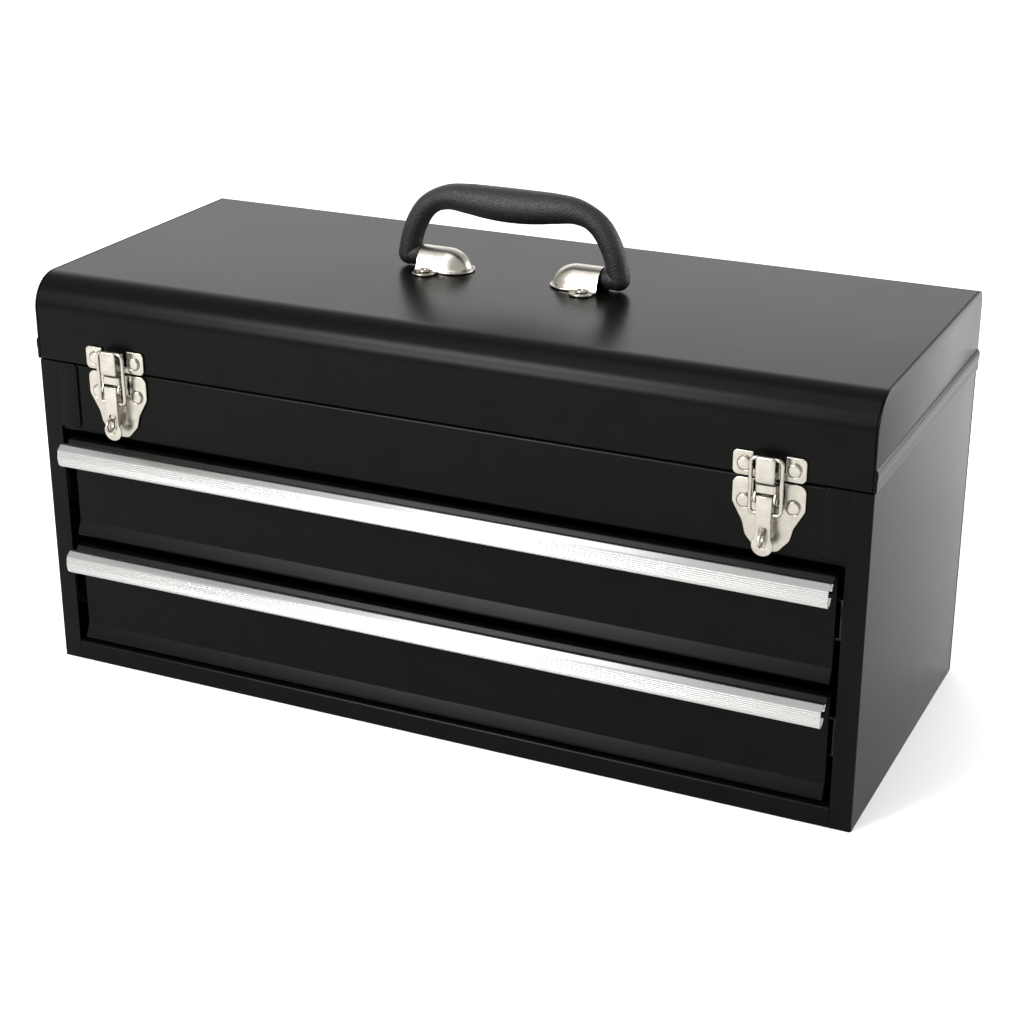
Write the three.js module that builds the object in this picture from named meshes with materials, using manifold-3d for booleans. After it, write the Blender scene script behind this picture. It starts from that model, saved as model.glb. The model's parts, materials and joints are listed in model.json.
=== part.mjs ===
// Portable steel tool chest: a case with two drawers on ball slides, a hinged lid over a top compartment,
// two toggle latches and a folding handle. Millimetres, +Z up, +X to the right, -Y to the front.
// The origin is the middle of the base that the case stands on.
import * as THREE from 'three';
import { mergeVertices } from 'three/addons/utils/BufferGeometryUtils.js';
import Module from 'manifold-3d';

const wasm = await Module();
wasm.setup();

// Overall sizes
const caseWidth = 510;
const caseDepth = 214;
const caseHeight = 195.2;       // floor to the seam under the lid
const lidHeight = 49.8;
const seamGap = 0.5;           // between case and lid
const sheet = 1;               // steel of the case, lid and drawers
const gap = 0.3;               // between pieces that touch
const holeReach = 5;           // rivet holes are cut this far to each side of a face
const bendRadius = sheet / 2 + gap;   // mid-line of a folded edge

// Case front
const jambWidth = 12.4;        // flange beside the drawers
const tabWidth = 26;           // wider flange in front of the rail
const tabCorner = 3;
const railHeight = 43;
const railDrop = 0.5;          // top of the rail under the top of the case
const railFlange = 12;
const bottomRailHeight = 12;
const bottomRailFold = 9;
const bottomUpstand = 10;      // folds along the ends of the bottom panel
const floorUpstand = 12;       // and of the compartment floor
const rimFlange = 8;           // fold along the top of each side

// Lid
const lidFrontRadius = 20;
const lidBackRadius = 8;
const lidHem = 6;
const endFlange = 9;
const beadHeight = 13;
const beadDepth = 1.3;

// Drawers
const topGap = 4.5;
const middleGap = 5.5;
const lowGap = 2.6;
const frontSideGap = 4.6;
const faceRecess = 4;
const bevelHeight = 9;
const lipRun = 5.3;            // how far the sloping lip stands forward
const lipDrop = 8;
const trayBackClearance = 10;
const trayLift = 2;            // tray bottom above the bottom of its front
const trayDrop = 4;            // tray rim below the top of its front
const pullWall = 1;

// Ball slides
const slideHeight = 32;
const slideWall = 1.2;
const ballSize = 2.4;
const slideTravel = 145;
const slideEndClearance = 6;
const frontReturn = 9;         // fold along each end of a drawer front
const slideOverlap = 1.1;      // outer lips reach this far past the inner lips

// Hinge
const hingePin = 1.2;
const hingeKnuckle = 2.3;
const hingeLeaf = 1.2;
const hingeLeafHeight = 14;
const hingeEndInset = 15;
const knuckleCount = 13;
const pinClearance = 0.25;

// Latches
const latchInset = 55;         // latch middle in from the side of the case
const plate = 1.2;             // stamped latch and bracket steel
const plateHalf = 19.8;
const hoodHalf = 5.3;
const hoodReach = 9.2;         // front of the hood before the lid
const hoodTop = 13.8;          // above the lid's lower edge
const shelfTop = 10.7;
const wireRadius = 1.2;
const wireBend = 2.4;
const bailRoom = 0.2;          // between the bail and the lever pin's heads
const hookRoom = 0.5;          // more room behind the hood's lip, for the bail to swing clear
const pivotDrop = 10;          // lever pivot below the lid's lower edge
const pivotReach = 5.4;         // lever pivot before the lid's face
const bailDrop = 8.2;           // bail pivot below the lever pivot
const leverHalf = 4.4;
const leverFace = 2.6;         // lever face before its pivot
const leverTipRadius = 5.9;
const leverReach = 31;         // pivot to the tip of the lever
const leverTop = 2.1;          // lever above its pivot
const leverWall = 1;
const slotHalf = 1.8;
const slotTop = 15;
const slotBottom = 26.5;
const leverPin = 1.5;
const pinHead = 0.7;
const stapleRadius = 4.2;
const stapleHole = 2.5;
const stapleHalf = 0.7;
const stapleReach = 2;         // middle of the ring before the lever's face
const pinRoom = 0.1;           // pins in their holes
const rivetShank = 2;
const rivetHead = 4.2;
const rivetHeadHeight = 1.1;
const rivetTail = 0.8;         // thickness of the spread tail, and how far it spreads
const latchRivet = 13.3;       // rivets to each side of the latch's middle
const catchRivetRise = 6.4;    // above the lid's lower edge
const baseRivetDrop = 4.5;      // below the lever pivot
const catchDrop = 0.3;         // catch plate below the lid's lower edge
const catchHeight = 13.5;
const catchSlotRise = 4;       // lower end of the notches beside the hood
const catchSlotRoom = 0.6;     // beside the hood
const catchSlotWidth = 2.8;
const hoodDrop = 0.6;          // hood below the lid's lower edge
const hoodWall = 1;
const baseDrop = 1.9;          // base plate under the lid's lower edge
const lugWall = 1.2;
const lugRadius = 2.6;
const lugRoom = 0.4;           // between lever and lugs
const bridgeRise = 3.6;        // bridge over the lever, above the pivot

// Handle
const handleY = 11;            // handle axis behind the middle of the lid
const handleFoot = 66.8;        // middle of each foot
const handleRise = 39.4;       // pivot to the middle of the grip
const gripRadius = 6.6;
const swellRadius = 9.5;       // palm swell at the middle of the grip
const swellDrop = 2.7;         // it hangs this far below the grip's middle line
const stubRadius = 4.2;
const gripRoom = 0.5;          // lid to the underside of the handle's feet
const stubRoom = 0.5;          // stubs in their brackets
const footClearance = 2.5;     // foot to bracket mouth
const bracketLength = 31;
const bracketNose = 15;
const domeHalf = 10.8;
const flangeEdge = 1.4;        // flange beside the dome
const earOffset = 14.7;
const earRadius = 7;
const earInset = 7.5;          // ear behind the bracket's mouth
const bracketRivetHead = 3.6;

// Worked out from the sizes above
const halfWidth = caseWidth / 2;
const frontY = -caseDepth / 2;
const backY = caseDepth / 2;
const lidBottom = caseHeight + seamGap;
const lidTop = lidBottom + lidHeight;
const railBottom = caseHeight - railHeight;
const railFace = frontY + sheet + gap;               // outer face of the front rail
const innerHalf = halfWidth - sheet - gap;           // what fits between the side panels
const rearFlangeY = backY - sheet - gap - sheet;     // inner face of the side panels' rear flanges
const openingHeight = railBottom - bottomRailHeight;
const frontHeight = (openingHeight - topGap - middleGap - lowGap) / 2;
const drawerPitch = frontHeight + middleGap;
const lowerFrontBottom = bottomRailHeight + lowGap;
const frontHalf = halfWidth - jambWidth - frontSideGap;
const trayHalf = frontHalf - sheet - gap;
const trayFrontY = frontY + faceRecess + sheet + gap;
const trayBackY = rearFlangeY - trayBackClearance;
const latchX = halfWidth - latchInset;
const catchFace = frontY - gap - plate;
const baseFace = railFace - gap - plate;
const pivotY = frontY - pivotReach;
const pivotZ = lidBottom - pivotDrop;
const bailZ = pivotZ - bailDrop;
const crossbarY = frontY - hoodReach + plate + gap + wireRadius + hookRoom;
const crossbarZ = lidBottom + shelfTop + gap + wireRadius;
const hingeY = backY + gap + hingeKnuckle;
const hingeZ = caseHeight + seamGap / 2;
const pivotHeight = gripRadius + gripRoom;           // handle axis above the lid
const domeHeight = pivotHeight + stubRadius + stubRoom + plate;
const handleZ = lidTop + pivotHeight;
const bracketMouth = handleFoot - gripRadius - footClearance;
const bracketBarrel = bracketMouth - bracketLength + bracketNose;   // where the dome starts to close
const earX = bracketMouth - earInset;
const flangeHalf = domeHalf + flangeEdge;
const catchRivetZ = lidBottom + catchRivetRise;
const baseRivetZ = pivotZ - baseRivetDrop;
const leverFaceY = pivotY - leverFace;
const lugInner = leverHalf + lugRoom;
const lugOuter = lugInner + lugWall;
const bailHalf = lugOuter + gap + pinHead + bailRoom + wireRadius;   // middle of the bail's legs
const rivetHole = rivetShank + gap;

// Materials
function finish(color, roughness, metalness) {
  return () => new THREE.MeshStandardMaterial({ color, roughness, metalness });
}

const blackPaint = finish(0x1a1917, 0.45, 0.1);
const aluminium = finish(0xc9c9c8, 0.35, 1);
const nickel = finish(0xbab7ad, 0.25, 1);
const zincSteel = finish(0x8f9295, 0.4, 1);
const gripPlastic = finish(0x2a2a2a, 0.75, 0);

const chest = new THREE.Group();

function add(name, geometry, material) {
  const mesh = new THREE.Mesh(geometry, material());
  mesh.name = name;
  chest.add(mesh);
}

// Solids
function solid(geometry) {
  const bare = geometry.clone();
  bare.deleteAttribute('normal');
  bare.deleteAttribute('uv');
  const merged = mergeVertices(bare, 1e-4);
  const corners = merged.index.array;
  const kept = [];
  for (let i = 0; i < corners.length; i += 3) {
    const [a, b, c] = corners.slice(i, i + 3);
    if (a !== b && b !== c && c !== a) kept.push(a, b, c);   // a pole's triangles close up when merged
  }
  const vertProperties = Float32Array.from(merged.attributes.position.array);
  return new wasm.Manifold(new wasm.Mesh({ numProp: 3, vertProperties, triVerts: Uint32Array.from(kept) }));
}

function geometryOf(body) {
  const { vertProperties, triVerts } = body.getMesh();
  const geometry = new THREE.BufferGeometry();
  geometry.setAttribute('position', new THREE.BufferAttribute(Float32Array.from(vertProperties), 3));
  geometry.setIndex(new THREE.BufferAttribute(Uint32Array.from(triVerts), 1));
  geometry.computeVertexNormals();
  return geometry;
}

function join(...pieces) {
  return geometryOf(pieces.map(solid).reduce((whole, piece) => whole.add(piece)));
}

function cut(piece, ...tools) {
  return geometryOf(tools.map(solid).reduce((left, tool) => left.subtract(tool), solid(piece)));
}

function mirrored(geometry) {
  const copy = geometryOf(solid(geometry)).scale(-1, 1, 1);
  const corners = copy.index.array;
  for (let i = 0; i < corners.length; i += 3) {
    [corners[i + 1], corners[i + 2]] = [corners[i + 2], corners[i + 1]];   // faces point out again
  }
  return copy;
}

// Outlines
const at = (x, y) => new THREE.Vector2(x, y);

// the points of a line, each corner rounded to its radius
function rounded(points, radii, closed = true, steps = 3) {
  const line = [];
  points.forEach((point, i) => {
    const radius = Array.isArray(radii) ? radii[i] : radii;
    const isEnd = !closed && (i === 0 || i === points.length - 1);
    if (isEnd || !radius) {
      line.push(point);
      return;
    }
    const before = points[(i + points.length - 1) % points.length].clone().sub(point).normalize();
    const after = points[(i + 1) % points.length].clone().sub(point).normalize();
    const halfTurn = (Math.PI - Math.acos(THREE.MathUtils.clamp(before.dot(after), -1, 1))) / 2;
    const toCentre = before.clone().add(after).setLength(radius / Math.cos(halfTurn));
    const centre = point.clone().add(toCentre);
    const spoke = point.clone().addScaledVector(before, radius * Math.tan(halfTurn)).sub(centre);
    const sense = Math.sign(before.y * after.x - before.x * after.y);
    for (let k = 0; k <= steps; k++) {
      line.push(spoke.clone().rotateAround(at(0, 0), sense * 2 * halfTurn * (k / steps)).add(centre));
    }
  });
  return line;
}

// the outline of a folded sheet whose middle runs through the points
function folded(points, radii = bendRadius, thickness = sheet, steps = 3) {
  const line = rounded(points, radii, false, steps);
  const sides = [1, -1].map((side) => line.map((point, i) => {
    const back = point.clone().sub(line[Math.max(i - 1, 0)]).normalize();
    const ahead = line[Math.min(i + 1, line.length - 1)].clone().sub(point).normalize();
    const along = back.clone().add(ahead).normalize();
    const lean = Math.max(along.dot(i ? back : ahead), 0.5);
    const offset = (side * thickness) / 2 / lean;
    return at(point.x - along.y * offset, point.y + along.x * offset);
  }));
  return sides[0].concat(sides[1].reverse());
}

function rectangle(x0, x1, y0, y1, radius = 0) {
  const corners = [at(x0, y0), at(x1, y0), at(x1, y1), at(x0, y1)];
  return radius ? rounded(corners, radius) : corners;
}

// Extrusions: an outline in (y, z) along X, in (x, z) along Y, or in (x, y) along Z
const axes = {
  x: [new THREE.Vector3(0, 1, 0), new THREE.Vector3(0, 0, 1), new THREE.Vector3(1, 0, 0)],
  y: [new THREE.Vector3(1, 0, 0), new THREE.Vector3(0, 0, 1), new THREE.Vector3(0, -1, 0)],
  z: [new THREE.Vector3(1, 0, 0), new THREE.Vector3(0, 1, 0), new THREE.Vector3(0, 0, 1)],
};

function extrude(axis, outline, from, to) {
  const shape = new THREE.Shape(outline);
  const geometry = new THREE.ExtrudeGeometry(shape, { depth: to - from, bevelEnabled: false });
  geometry.applyMatrix4(new THREE.Matrix4().makeBasis(...axes[axis]));
  if (axis === 'x') return geometry.translate(from, 0, 0);
  return axis === 'y' ? geometry.translate(0, to, 0) : geometry.translate(0, 0, from);
}

function box(x0, x1, y0, y1, z0, z1) {
  const geometry = new THREE.BoxGeometry(x1 - x0, y1 - y0, z1 - z0);
  return geometry.translate((x0 + x1) / 2, (y0 + y1) / 2, (z0 + z1) / 2);
}

// a round bar along an axis, from one place on that axis to another; a and b are its other two coordinates
function bar(axis, radius, from, to, a, b, sides = 16) {
  const geometry = new THREE.CylinderGeometry(radius, radius, to - from, sides);
  const middle = (from + to) / 2;
  if (axis === 'x') return geometry.rotateZ(-Math.PI / 2).translate(middle, a, b);
  if (axis === 'y') return geometry.translate(a, middle, b);
  return geometry.rotateX(Math.PI / 2).translate(a, b, middle);
}

// a rivet along -Y: its head stands before headFace and its spread tail behind tailFace
function rivet(head, headFace, tailFace) {
  const under = headFace - gap;
  const top = under - rivetHeadHeight;
  const inside = tailFace + gap;
  const spread = rivetShank + rivetTail;
  return new THREE.LatheGeometry([
    at(0, top),
    at(head * 0.82, top),
    at(head, under - rivetHeadHeight * 0.6),
    at(head, under),
    at(rivetShank, under),
    at(rivetShank, inside),
    at(spread, inside),
    at(spread, inside + rivetTail),
    at(0, inside + rivetTail),
  ], 12);
}

// holes for the rivets at a list of places, through the sheet whose outer face is at face
function rivetHoles(axis, places, face) {
  return places.map(([a, b]) => bar(axis, rivetHole, face - holeReach, face + holeReach, a, b, 12));
}

// Case
function sidePanel() {
  const rearMiddle = rearFlangeY + sheet / 2;
  const channel = extrude('z', folded([
    at(halfWidth - jambWidth, rearMiddle),
    at(halfWidth - sheet / 2, rearMiddle),
    at(halfWidth - sheet / 2, frontY + sheet / 2),
    at(halfWidth - jambWidth, frontY + sheet / 2),
  ]), 0, caseHeight);
  const tabRoot = halfWidth - jambWidth + bendRadius;
  const tab = extrude('y', rounded([
    at(tabRoot, railBottom + tabCorner),
    at(tabRoot, caseHeight),
    at(halfWidth - tabWidth, caseHeight),
    at(halfWidth - tabWidth, railBottom + tabCorner),
  ], [0, 0, tabCorner, tabCorner]), frontY, frontY + sheet);
  const rimFront = railFace + sheet / 2 + railFlange + gap;
  const rimBack = rearFlangeY - gap;
  const rimLow = caseHeight - sheet;
  const rim = box(halfWidth - rimFlange, halfWidth - sheet / 2, rimFront, rimBack, rimLow, caseHeight);
  return join(channel, tab, rim);
}

const sideGeometry = sidePanel();
add('right_side_panel', sideGeometry, blackPaint);
add('left_side_panel', mirrored(sideGeometry), blackPaint);

add('back_panel', box(-halfWidth, halfWidth, backY - sheet, backY, 0, caseHeight), blackPaint);

function floorPan(z, frontEdge, upstand) {
  const wall = innerHalf - sheet / 2;
  const middle = z + sheet / 2;
  const high = z + upstand;
  const outline = folded([at(-wall, high), at(-wall, middle), at(wall, middle), at(wall, high)]);
  return extrude('y', outline, frontEdge, rearFlangeY - gap);
}

const compartmentZ = railBottom + sheet + gap;
add('bottom_panel', floorPan(0, frontY + sheet + gap, bottomUpstand), blackPaint);
add('compartment_floor', floorPan(compartmentZ, railFace + sheet + gap, floorUpstand), blackPaint);

function frontRail() {
  const face = railFace + sheet / 2;
  const top = caseHeight - railDrop - sheet / 2;
  const bottom = railBottom + sheet / 2;
  const channel = extrude('x', folded([
    at(face + railFlange, top), at(face, top), at(face, bottom), at(face + railFlange, bottom),
  ]), -innerHalf, innerHalf);
  return cut(channel, ...rivetHoles('y', latchRivets(baseRivetZ), railFace));
}

// the places of the two rivets of each latch plate at height z
function latchRivets(z) {
  return [-latchX, latchX].flatMap((middle) => [[middle - latchRivet, z], [middle + latchRivet, z]]);
}

add('front_rail', frontRail(), blackPaint);

function bottomRail() {
  const face = frontY + sheet / 2;
  const top = bottomRailHeight - sheet / 2;
  const half = halfWidth - jambWidth - gap;
  return extrude('x', folded([at(face + bottomRailFold, top), at(face, top), at(face, 0)]), -half, half);
}

add('bottom_rail', bottomRail(), blackPaint);

// Lid
function lidProfile(inset) {
  return [
    at(frontY + inset, lidBottom),
    at(frontY + inset, lidTop - inset),
    at(backY - inset, lidTop - inset),
    at(backY - inset, lidBottom),
  ];
}

function lidCover() {
  const middle = sheet / 2;
  const line = lidProfile(middle);
  line[0].y += middle;
  line.unshift(at(frontY + lidHem, lidBottom + middle));
  const radii = [0, bendRadius, lidFrontRadius - middle, lidBackRadius - middle, 0];
  const skin = extrude('x', folded(line, radii, sheet, 8), -innerHalf, innerHalf);
  const catchHoles = rivetHoles('y', latchRivets(catchRivetZ), frontY);
  return cut(skin, ...catchHoles, ...rivetHoles('z', bracketRivets(), lidTop));
}

add('lid_cover', lidCover(), blackPaint);

function lidEnd() {
  const inner = innerHalf + gap;
  const radii = [0, lidFrontRadius, lidBackRadius, 0];
  const panel = extrude('x', rounded(lidProfile(0), radii, true, 8), inner, halfWidth);
  const inset = sheet + gap + sheet / 2;
  const line = lidProfile(inset);
  line[0].y += sheet + gap;
  const flange = extrude('x', folded(line, [0, lidFrontRadius - inset, lidBackRadius - inset, 0], sheet, 8),
    halfWidth - endFlange, inner + sheet / 2);
  const onBead = (depth, height) => at(halfWidth + beadDepth * depth, lidBottom + beadHeight * height);
  const root = halfWidth - sheet / 2;
  const bead = extrude('y', [
    at(root, lidBottom),
    onBead(0.4, 0),
    onBead(0.75, 0.1),
    onBead(0.75, 0.5),
    onBead(1, 0.58),
    onBead(1, 0.82),
    onBead(0, 1),
    at(root, lidBottom + beadHeight),
  ], frontY + gap, backY - gap);
  return join(panel, flange, bead);
}

const endGeometry = lidEnd();
add('lid_right_end', endGeometry, blackPaint);
add('lid_left_end', mirrored(endGeometry), blackPaint);

// Hinge: two leaves whose knuckles take turns along one pin
const hingeHalf = halfWidth - hingeEndInset;
const knuckleLength = (2 * hingeHalf) / knuckleCount;

function hingeHalfLeaf(first, side) {
  const leafFace = backY + gap;
  const clear = hingeKnuckle + 2 * gap;
  const upright = (from, to, near, far) => box(from, to, leafFace, leafFace + hingeLeaf,
    hingeZ + Math.min(side * near, side * far), hingeZ + Math.max(side * near, side * far));
  const pieces = [upright(-hingeHalf, hingeHalf, clear, clear + hingeLeafHeight)];
  for (let k = first; k < knuckleCount; k += 2) {
    const from = -hingeHalf + k * knuckleLength + gap;
    const to = from + knuckleLength - 2 * gap;
    pieces.push(upright(from, to, 0, clear + hingeLeaf));
    pieces.push(bar('x', hingeKnuckle, from, to, hingeY, hingeZ, 12));
  }
  const bore = bar('x', hingePin + pinClearance, -halfWidth, halfWidth, hingeY, hingeZ, 12);
  return cut(join(...pieces), bore);
}

add('hinge_lower_leaf', hingeHalfLeaf(0, -1), blackPaint);
add('hinge_upper_leaf', hingeHalfLeaf(1, 1), blackPaint);
add('hinge_pin', bar('x', hingePin, -hingeHalf, hingeHalf, hingeY, hingeZ, 12), zincSteel);

// Drawers
function drawerFront(bottom) {
  const top = bottom + frontHeight;
  const face = frontY + faceRecess + sheet / 2;
  const sweep = extrude('x', folded([
    at(frontY + 6.5, bottom + sheet / 2),
    at(frontY + sheet / 2, bottom + sheet / 2),
    at(face, bottom + bevelHeight),
    at(face, top - sheet / 2),
    at(frontY - 0.3, top - sheet / 2),
    at(frontY - lipRun, top - lipDrop),
  ], 1), -frontHalf, frontHalf);
  const fold = (x) => box(x, x + sheet, face, face + frontReturn, bottom + bevelHeight, top - sheet);
  return join(sweep, fold(-frontHalf), fold(frontHalf - sheet));
}

function drawerTray(bottom) {
  const low = bottom + trayLift;
  const high = bottom + frontHeight - trayDrop;
  return cut(
    box(-trayHalf, trayHalf, trayFrontY, trayBackY, low, high),
    box(-trayHalf + sheet, trayHalf - sheet, trayFrontY + sheet, trayBackY - sheet, low + sheet, high + 1),
  );
}

// an extruded full-width pull: a web on the sloping lip, a bulging front and a hooked lower edge
function drawerPull(bottom) {
  const top = bottom + frontHeight;
  const lip = at(lipRun - 0.3, lipDrop - sheet / 2).normalize();
  const standoff = sheet / 2 + gap + pullWall / 2;
  const besideLip = at(0.3, -sheet / 2).add(at(lip.y, lip.x).multiplyScalar(standoff));
  const onLip = (run) => at(besideLip.x + lip.x * run, besideLip.y - lip.y * run);
  const line = [
    onLip(7.6),
    onLip(3.6),
    at(8.8, -1),
    at(12.2, -3.8),
    at(12.9, -8.5),
    at(12.1, -12.6),
    at(10.2, -14.1),
    at(8.3, -13),
    at(6.5, -9.9),
  ];
  const placed = line.map((point) => at(frontY - point.x, top + point.y));
  return extrude('x', folded(placed, [0, 0.7, 1.2, 3, 4, 2, 1, 1, 0], pullWall), -frontHalf, frontHalf);
}

// Ball slides, drawn for the right side: an outer channel on the case, an inner channel on the drawer, and
// the ball cage between them, which moves half as far as the drawer
const slideOuterX = innerHalf;
const slideInnerX = trayHalf + gap;
const outerFrontY = frontY + faceRecess + sheet / 2 + frontReturn + 2;
const slideLength = trayBackY - outerFrontY;
const cageLength = slideLength - slideTravel / 2 - slideEndClearance;

function channel(web, lips, half, wall, from, to, z) {
  const edge = half - wall / 2;
  const line = [at(lips, z + edge), at(web, z + edge), at(web, z - edge), at(lips, z - edge)];
  return extrude('y', folded(line, 1.2, wall), from, to);
}

function slide(z) {
  const outerHalf = slideHeight / 2;
  const cageHalf = outerHalf - slideWall - gap;
  const innerHalfHeight = cageHalf - ballSize - gap;
  const outerWeb = slideOuterX - slideWall / 2;
  const innerWeb = slideInnerX + slideWall / 2;
  const cageWeb = outerWeb - slideWall / 2 - gap - ballSize / 2 - 0.6;
  const innerLips = halfWidth - jambWidth - gap;
  const lips = innerLips - slideOverlap;
  return {
    outer: channel(outerWeb, lips, outerHalf, slideWall, outerFrontY, trayBackY, z),
    cage: channel(cageWeb, lips, cageHalf, ballSize, trayBackY - cageLength, trayBackY, z),
    inner: channel(innerWeb, innerLips, innerHalfHeight, slideWall, outerFrontY, trayBackY, z),
  };
}

[['upper', lowerFrontBottom + drawerPitch], ['lower', lowerFrontBottom]].forEach(([level, bottom]) => {
  add(`${level}_drawer_front`, drawerFront(bottom), blackPaint);
  add(`${level}_drawer_tray`, drawerTray(bottom), blackPaint);
  add(`${level}_drawer_pull`, drawerPull(bottom), aluminium);
  const { outer, cage, inner } = slide(bottom + frontHeight / 2);
  [['outer_channel', outer], ['ball_cage', cage], ['inner_channel', inner]].forEach(([name, geometry]) => {
    add(`${level}_right_${name}`, geometry, zincSteel);
    add(`${level}_left_${name}`, mirrored(geometry), zincSteel);
  });
});

// Latches, drawn with their middle at x = 0
const catchRivets = [[-latchRivet, catchRivetZ], [latchRivet, catchRivetZ]];
const baseRivets = [[-latchRivet, baseRivetZ], [latchRivet, baseRivetZ]];

// an outline from its right half, top to bottom, and the same half mirrored
function bothSides(half) {
  const right = half.map(([x, z]) => at(x, z));
  return [...right.slice().reverse(), ...half.map(([x, z]) => at(-x, z))];
}

function latchCatch() {
  const low = lidBottom - catchDrop;
  const high = low + catchHeight;
  const notchInner = hoodHalf + catchSlotRoom;
  const notchOuter = notchInner + catchSlotWidth;
  const notchLow = low + catchSlotRise;
  const outline = rounded(bothSides([
    [notchInner, high - 2],
    [notchInner, notchLow],
    [notchOuter, notchLow],
    [notchOuter, high],
    [plateHalf, high],
    [plateHalf, low],
  ]), [2.5, 2.5, 1, 0, 0, 0, 0, 0, 0, 1, 2.5, 2.5]);
  const face = extrude('y', outline, catchFace, catchFace + plate);
  const front = frontY - hoodReach;
  const root = catchFace + plate / 2;
  const top = lidBottom + hoodTop;
  const shelf = lidBottom + shelfTop;
  const hoodLow = lidBottom - hoodDrop;
  const shell = extrude('x', rounded([
    at(root, hoodLow + 2),
    at(front, hoodLow),
    at(front, top),
    at(front + plate, top),
    at(front + plate, shelf),
    at(root, shelf),
  ], [0, 0.8, 1, 0, 0, 0]), -hoodHalf, hoodHalf);
  const inside = hoodHalf - hoodWall;
  const hollow = box(-inside, inside, front + plate, catchFace, hoodLow - 1, shelf - plate);
  return cut(join(face, cut(shell, hollow)), ...rivetHoles('y', catchRivets, catchFace));
}

function latchBase() {
  const top = lidBottom - baseDrop;
  const outline = rounded(bothSides([
    [plateHalf, top],
    [plateHalf, pivotZ - 6],
    [13.9, pivotZ - 16.5],
    [12.2, pivotZ - 23.5],
    [5.7, pivotZ - 31],
  ]), [5, 6, 6, 3, 2.5, 2.5, 3, 6, 6, 5]);
  const face = extrude('y', outline, baseFace, baseFace + plate);
  const root = baseFace + plate / 2;
  const bridgeLow = pivotZ + bridgeRise;
  const bridgeTop = top - gap;
  const bridgeFront = pivotY - plate - gap;
  const lugs = [-lugOuter, lugInner].map((x) => join(
    extrude('x', [
      at(root, pivotZ - lugRadius),
      at(pivotY, pivotZ - lugRadius),
      at(pivotY, pivotZ + lugRadius),
      at(bridgeFront, bridgeLow),
      at(bridgeFront, bridgeTop),
      at(root, bridgeTop),
    ], x, x + lugWall),
    bar('x', lugRadius, x, x + lugWall, pivotY, pivotZ),
  ));
  const bridge = box(-lugOuter, lugOuter, bridgeFront, bridgeFront + plate, bridgeLow, bridgeTop);
  const bore = bar('x', leverPin + pinRoom, -plateHalf, plateHalf, pivotY, pivotZ);
  return cut(join(face, ...lugs, bridge), bore, ...rivetHoles('y', baseRivets, baseFace));
}

function latchStaple() {
  const ringY = leverFaceY - stapleReach;
  const ringZ = pivotZ - (slotTop + slotBottom) / 2;
  const stem = stapleRadius * 0.7;
  const blade = join(
    bar('x', stapleRadius, -stapleHalf, stapleHalf, ringY, ringZ, 20),
    box(-stapleHalf, stapleHalf, ringY, baseFace - gap, ringZ - stem, ringZ + stem),
  );
  return cut(blade, bar('x', stapleHole, -stapleRadius, stapleRadius, ringY, ringZ, 16));
}

function latchLever() {
  const top = pivotZ + leverTop;
  const tipZ = pivotZ - leverReach + leverTipRadius;
  const leverBack = leverFaceY + leverWall;
  const strap = extrude('y', rounded(bothSides([
    [leverHalf, top], [leverHalf - 0.4, pivotZ - 12], [leverHalf - 0.1, tipZ + leverTipRadius * 0.9],
  ]), [0, 8, 1, 1, 8, 0]), leverFaceY, leverBack);
  const tip = bar('y', leverTipRadius, leverFaceY, leverBack, 0, tipZ, 24);
  const wallFront = leverFaceY + leverWall / 2;
  const wallBack = pivotY + 2.8;
  const wallEnd = pivotZ - 26;
  const wallX = leverHalf - leverWall - 0.4;
  const walls = [-wallX - leverWall, wallX].map((x) => extrude('x', rounded([
    at(wallFront, top - 0.4),
    at(wallBack, top - 0.4),
    at(wallBack, bailZ - 2.4),
    at(leverBack, wallEnd),
    at(wallFront, wallEnd),
  ], [0, 1.5, 1.5, 0, 0]), x, x + leverWall));
  const opening = rectangle(-slotHalf, slotHalf, pivotZ - slotBottom, pivotZ - slotTop, 0.8);
  const slot = extrude('y', opening, leverFaceY - leverWall, leverBack + leverWall);
  const bore = bar('x', leverPin + pinRoom, -plateHalf, plateHalf, pivotY, pivotZ);
  const bailHole = bar('x', wireRadius + gap, -plateHalf, plateHalf, pivotY, bailZ);
  return cut(join(strap, tip, ...walls), slot, bore, bailHole);
}

function circle(radius, sides) {
  return new THREE.Shape(new THREE.EllipseCurve(0, 0, radius, radius).getPoints(sides).slice(0, sides));
}

// a bent wire of one radius through the points, its corners rounded
function wire(points, radius, bend, steps) {
  const path = new THREE.CurvePath();
  let last = points[0];
  points.slice(1, -1).forEach((corner, i) => {
    const before = corner.clone().add(points[i].clone().sub(corner).setLength(bend));
    const after = corner.clone().add(points[i + 2].clone().sub(corner).setLength(bend));
    path.add(new THREE.LineCurve3(last, before));
    path.add(new THREE.QuadraticBezierCurve3(before, corner, after));
    last = after;
  });
  path.add(new THREE.LineCurve3(last, points[points.length - 1]));
  return new THREE.ExtrudeGeometry(circle(radius, 8), { steps, extrudePath: path, bevelEnabled: false });
}

function latchBail() {
  const inside = leverHalf - leverWall - 0.2;
  const foot = (x) => new THREE.Vector3(x, pivotY, bailZ);
  const head = (x) => new THREE.Vector3(x, crossbarY, crossbarZ);
  return wire([foot(-inside), foot(-bailHalf), head(-bailHalf), head(bailHalf), foot(bailHalf), foot(inside)],
    wireRadius, wireBend, 44);
}

function leverPinGeometry() {
  const end = lugOuter + gap;
  return join(
    bar('x', leverPin, -end - pinHead / 2, end + pinHead / 2, pivotY, pivotZ),
    bar('x', leverPin + rivetTail, end, end + pinHead, pivotY, pivotZ),
    bar('x', leverPin + rivetTail, -end - pinHead, -end, pivotY, pivotZ),
  );
}

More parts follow.
